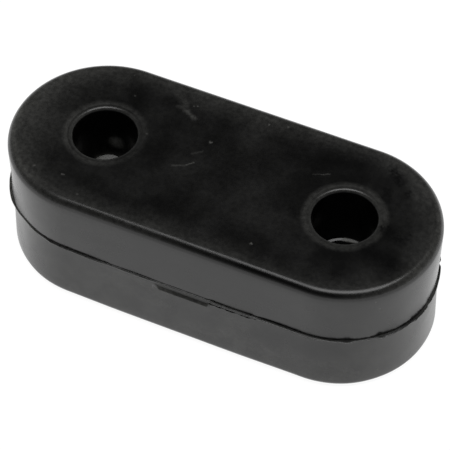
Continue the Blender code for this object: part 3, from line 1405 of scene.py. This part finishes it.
class RubberSkin:
    """A place on the hanger's surface, and what bloom, wear and marks lie there."""

    UNEVEN = Noise(0.28, 8.0, 4.0, 0.6)
    BROKEN = Noise(2.6, 12.0, 3.0, span=(0.34, 0.6, 0.45, 1.1))
    WARP_DETAIL = 3.0

    def __init__(self, graph: Graph, finish: RubberFinish, block: BlockSizes, bore: BoreSizes) -> None:
        """Measure where the place lies.

        Args:
            graph: The material's tree.
            finish: Colours and places of the bloom.
            block: Sizes that place the worn rims.
            bore: Sizes that place the worn lips.
        """
        self.graph, self.finish, self.block, self.bore = graph, finish, block, bore
        self.place = graph.scaled(graph.node("ShaderNodeTexCoord").outputs["Object"], 1 / MM)
        self.x, self.y, self.z = graph.parted(self.place)
        past = abs(self.x) - block.end_centre
        self.outline = graph.radius(past.at_least(0.0), self.y)
        along = (past - bore.outset) / (1.0 - bore.squeeze[0])
        across = (self.y - bore.setback) / (1.0 - bore.squeeze[1])
        self.axis = graph.radius(along, across)
        self.past_face = self.outline - block.cap_reach
        self.past_wall = self.outline - block.half_width
        self.rise = self.z - block.parting
        self.uneven = graph.noise(self.place, self.UNEVEN)

    def corner(self, x_fade: Fade, y_fade: Fade) -> Value:
        """Fade both along the block and across it."""
        return self.x.ramp(*x_fade) * self.y.ramp(*y_fade)

    def bloom(self) -> Value:
        """Lay the dry bloom on the top, painted highlights, sheen and lightening on the rims, a painted
        reflection on the walls and a lightening on the flash.

        Returns:
            The colour that it adds.
        """
        places = self.finish.places
        rim, top = self.rim_lightening(), self.top_bloom()
        # A painted highlight along a ridge of the left end's front rim
        ridge = self.past_face.ramp(*places.ridge[0]) * self.past_face.ramp(*places.ridge[1])
        ridge = ridge * self.corner(places.x_ridge, places.y_ridge) * self.finish.ridge_highlight
        top = self.past_face.ramp(*places.on_rim).mix(top, rim) + ridge
        return self.past_wall.ramp(*places.on_wall).mix(top, self.painted_wall_reflection()) + self.flash_lightening()

    def top_bloom(self) -> Value:
        """Lay the bloom on the top face: along its edge, on the left end and in soft patches, with a painted
        highlight on the shelf just inside the rim.

        Returns:
            The colour that it adds.
        """
        finish, places = self.finish, self.finish.places
        inset, stray = places.edge_stray
        share = self.y.ramp(*places.y_edge)
        share = share - self.corner(places.x_front_right, places.y_front_right) * places.front_right_loss
        share = share * self.x.ramp(*places.x_edge)
        edge = (self.past_face + inset + self.uneven * stray).ramp(*places.edge) * share
        # The shelf: a painted highlight just inside the rim, widening its highlight
        edge = edge + self.past_face.ramp(*places.shelf) * places.shelf_highlight_share
        left = (self.x + self.uneven * places.left_stray).ramp(*places.x_left)
        middle = self.corner(places.x_behind, places.y_behind)
        for patch in places.top:
            flat = self.graph.vector("MULTIPLY", self.place, (patch.shortening, 1.0, 0.0))
            away = flat.away_from((*patch.middle, 0.0))
            middle = middle + away.ramp(patch.edge, patch.core, 0.0, patch.share)
        return edge * finish.edge_bloom_and_highlight + left * finish.left_bloom + middle * finish.middle_bloom

    def rim_lightening(self) -> Value:
        """Lighten the rounded rim on its left part and right end, with a painted sheen on its back half and
        at both ends.

        Returns:
            The colour that it adds.
        """
        finish, places = self.finish, self.finish.places
        rim = self.x.ramp(*places.x_rim_left).at_least(self.x.ramp(*places.x_rim_right))
        rim = (rim + self.x.ramp(*places.x_rim_far_left)) * finish.rim_lightening
        # A painted sheen on the rim's back half and, below, at both ends
        rim = rim.at_least(self.y.ramp(*places.y_rim_far) * finish.far_rim_sheen)
        ends = self.corner(places.x_left_end, places.y_left_end) * places.left_end_share
        ends = ends + self.corner(places.x_right_end, places.y_right_end) * places.right_end_share
        return rim + ends * finish.far_rim_sheen

    def painted_wall_reflection(self) -> Value:
        """Paint the floor's reflection on the wall, mostly on its lower half and towards its ends, in
        patches.

        Returns:
            The colour that it adds.
        """
        places = self.finish.places
        outer = abs(self.x - places.wall_middle).ramp(*places.x_wall)
        lower = self.rise.ramp(*places.z_wall).at_least(outer)
        return lower * self.uneven.ramp(*places.wall_patchy) * self.finish.painted_wall_reflection

    def flash_lightening(self) -> Value:
        """Lighten the fin's edge towards its two ends, and the torn strip's face.

        Returns:
            The colour that it adds.
        """
        finish, places = self.finish, self.finish.places
        ends = self.x.ramp(*places.x_fin_left) + self.x.ramp(*places.x_fin_right)
        fin = abs(self.rise).ramp(*places.on_fin) * ends * finish.fin_lightening
        strip = abs(self.rise + places.strip_drop).ramp(*places.z_strip)
        strip = strip * self.past_wall.ramp(*places.on_strip) * abs(self.x).ramp(*places.x_strip)
        return strip * finish.strip_lightening + fin

    def lips(self) -> Value:
        """Lay the bloom on a bore's worn lip and on the edge of the ring round it, dimmed in the ring's
        middle as a painted shade.

        Returns:
            The colour that it adds.
        """
        bore, lips = self.bore, self.finish.lips
        inner = (self.axis - bore.radius).ramp(*lips.inner)
        ring_edge = bore.lip_edge + bore.ring_width
        outer = self.axis.ramp(bore.collar - lips.collar_margin, ring_edge + lips.ring_margin)
        # Painted shade in the sunk ring's middle, where the bloom is dimmed to this share
        groove_shade = self.x.ramp(*lips.x_left_groove_shade) + self.x.ramp(*lips.x_right_groove_shade)
        groove = abs(self.axis - (bore.lip_edge + bore.ring_width / 2)).ramp(0.0, lips.groove_half, groove_shade, 1.0)
        level = self.x.ramp(*lips.x_left_lip) + self.x.ramp(*lips.x_right_lip)
        return inner * outer * groove * level * self.finish.lip_bloom

    def rim_wear(self) -> Value:
        """Find the two rounded rims of the block.

        Returns:
            One on a rim and nought away from it.
        """
        middle = self.block.height / 2
        under, short = self.finish.rim_height
        high = abs(self.z - middle).ramp(middle - self.block.rim_fillet - under, middle - short)
        return high * self.past_face.ramp(*self.finish.rim_worn)

    def marks(self, kind: MarkKind) -> Value:
        """Lay the marks of one kind over the surface.

        Args:
            kind: Which marks.

        Returns:
            How strongly a mark shows there.
        """
        graph, finish = self.graph, self.finish
        scale, reach = finish.stain_warp if kind is MarkKind.STAIN else finish.mark_warp
        feeds = {"Vector": self.place, "Scale": scale, "Detail": self.WARP_DETAIL}
        warp = graph.node("ShaderNodeTexNoise", feeds).outputs["Color"]
        warped = self.place + graph.vector("SUBTRACT", warp, (0.5, 0.5, 0.5)) * reach
        total: Feed = 0.0
        for mark in MARKS[kind]:
            span = Vector(mark.end) - Vector(mark.start)
            away = warped - mark.start
            if span.length > 0:
                along = graph.vector("DOT_PRODUCT", away, tuple(span / span.length_squared))
                away = away - graph.scaled(tuple(span), graph.math("MULTIPLY", along, 1.0, clamp=True))
            away = graph.vector("LENGTH", away)
            total = away.ramp(mark.width * finish.mark_edge, 0.0, 0.0, mark.strength).at_least(total)
        return graph.math("MULTIPLY", total, graph.noise(self.place, self.BROKEN), clamp=True)


@dataclass(frozen=True)
class Studio:
    """Pale floor, an overhead softbox and dim surroundings.

    The softbox and the floor's sides are in metres, and the power is in watts.

    Attributes:
        floor_drop: How far the floor lies under the part, so that the two don't meet.
        floor_glow: Share of white that the floor shows without light.
        floor_tone: How much of the light it shows on top of that.
        floor_grey: How much light it throws back on the part.
        floor_shade: Fade past the flat face's edge from the painted shadow under the part to the open floor.
        fill: Soft light that comes evenly from all round.
        horizon: Brightness of the surroundings near the floor, as the part mirrors them.
        ceiling: Their brightness higher up.
        ceiling_start: How steeply a ray looks up where the ceiling starts.
    """

    softbox_size: tuple[float, float] = (0.8, 0.5)
    softbox_place: tuple[float, float, float] = (0.11, -0.07, 1.0)
    softbox_turn: float = math.radians(24.56)
    softbox_power: float = 5.2
    floor_size: float = 6.0
    floor_drop: float = 0.05
    floor_glow: float = 0.92
    floor_tone: float = 0.15
    floor_grey: float = 0.8
    floor_shade: Fade = (-3.0, 1.0)
    fill: float = 0.6
    horizon: float = 0.34
    ceiling: float = 0.03
    ceiling_start: float = 0.55

    def build(self, block: BlockSizes) -> None:
        """Put up the floor, the light and the surroundings.

        Args:
            block: Sizes of what stands on the floor.
        """
        self.floor(block)
        self.softbox()
        self.surroundings()

    def floor(self, block: BlockSizes) -> None:
        """Lay the pale floor, which shows white, keeps a soft shadow and has a painted shadow under the
        block.

        Args:
            block: Sizes of what stands on it.
        """
        half = self.floor_size / 2
        mesh = bpy.data.meshes.new("floor")
        corners = [(-half, -half), (half, -half), (half, half), (-half, half)]
        mesh.from_pydata([(*corner, -self.floor_drop * MM) for corner in corners], [], [(0, 1, 2, 3)])
        made = put("floor", mesh)
        material = bpy.data.materials.new("pale_floor")
        material.use_nodes = True
        graph = Graph(material.node_tree)
        place = graph.scaled(graph.node("ShaderNodeTexCoord").outputs["Object"], 1 / MM)
        x, y, _ = graph.parted(place)
        away = graph.radius((abs(x) - block.end_centre).at_least(0.0), y)
        # The glow fades to nought under the block: a painted shadow
        strength = (away - block.cap_reach).ramp(*self.floor_shade) * self.floor_glow
        lit = graph.output("ShaderNodeBsdfDiffuse", {"Color": (*[self.floor_tone] * 3, 1.0)})
        glow = graph.output("ShaderNodeEmission", {"Strength": strength})
        white = graph.output("ShaderNodeAddShader", {0: lit, 1: glow})
        plain = graph.output("ShaderNodeBsdfDiffuse", {"Color": (*[self.floor_grey] * 3, 1.0)})
        ray = graph.node("ShaderNodeLightPath").outputs
        sharp = Value(graph, ray["Is Camera Ray"]) + ray["Is Glossy Ray"]
        shown = graph.math("ADD", sharp, ray["Is Transmission Ray"], clamp=True)
        mixed = graph.output("ShaderNodeMixShader", {0: shown, 1: plain, 2: white})
        graph.node("ShaderNodeOutputMaterial", {"Surface": mixed})
        mesh.materials.append(material)

    def softbox(self) -> None:
        """Hang the softbox over the part."""
        lamp = bpy.data.lights.new("softbox", "AREA")
        lamp.shape = "RECTANGLE"
        lamp.size, lamp.size_y = self.softbox_size
        lamp.energy = self.softbox_power
        made = put("softbox", lamp)
        made.location = self.softbox_place
        made.rotation_euler = (0.0, 0.0, self.softbox_turn)

    def surroundings(self) -> None:
        """Make the world white to the camera and dim to the part, paler near the floor."""
        world = bpy.data.worlds.new("studio")
        world.use_nodes = True
        bpy.context.scene.world = world
        graph = Graph(world.node_tree)
        _, _, up = graph.parted(graph.node("ShaderNodeTexCoord").outputs["Generated"])
        dim = up.ramp(0.0, self.ceiling_start, self.horizon, self.ceiling)
        ray = graph.node("ShaderNodeLightPath").outputs
        strength = Value(graph, ray["Is Diffuse Ray"]).mix(dim, self.fill)
        strength = Value(graph, ray["Is Camera Ray"]).mix(strength, 1.0)
        sky = graph.node("ShaderNodeBackground", {"Color": (1.0, 1.0, 1.0, 1.0), "Strength": strength})
        graph.node("ShaderNodeOutputWorld", {"Surface": sky.outputs[0]})


@dataclass(frozen=True)
class PhotoCamera:
    """Camera at the photograph's viewing angle.

    Attributes:
        azimuth: How far it is turned round the part from its front.
        elevation: How far it looks down.
        clip: Nearest and furthest distance that it shows, in metres.
    """

    place: tuple[float, float, float] = (116.401, -253.809, 354.911)
    azimuth: float = math.radians(24.56)
    elevation: float = math.radians(50.83)
    lens: float = 198.95
    sensor: float = 36.0
    clip: tuple[float, float] = (0.01, 20.0)

    def build(self) -> bpy.types.Object:
        """Set up the camera.

        Returns:
            The camera.
        """
        lens = bpy.data.cameras.new("photo_camera")
        lens.lens = self.lens
        lens.sensor_width = self.sensor
        lens.clip_start, lens.clip_end = self.clip
        a, e = self.azimuth, self.elevation
        back = Vector((math.sin(a) * math.cos(e), -math.cos(a) * math.cos(e), math.sin(e)))
        right = Vector((math.cos(a), math.sin(a), 0.0))
        turn = Matrix((right, back.cross(right), back)).transposed()
        made = put("photo_camera", lens)
        made.matrix_world = Matrix.Translation(Vector(self.place) * MM) @ turn.to_4x4()
        bpy.context.scene.camera = made
        return made


def report(piece: bpy.types.Object) -> None:
    """Log a piece's size and how many triangles it has.

    Args:
        piece: The piece.
    """
    mesh = piece.data
    mesh.calc_loop_triangles()
    sides = " x ".join(f"{side / MM:.2f}" for side in piece.dimensions)
    log.info("%s: %d triangles, %s mm", piece.name, len(mesh.loop_triangles), sides)


def main() -> None:
    """Build the hanger, log its size, light it and set up the camera."""
    logging.basicConfig(level=logging.INFO, format="%(name)s: %(message)s")
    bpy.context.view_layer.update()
    hanger = MouldedBlock()
    finish = RubberFinish().material(hanger.block, hanger.bore)
    report(hanger.build(finish))
    Studio().build(hanger.block)
    PhotoCamera().build()
    bpy.context.scene.view_settings.view_transform = "Standard"


if __name__ == "__main__":
    main()
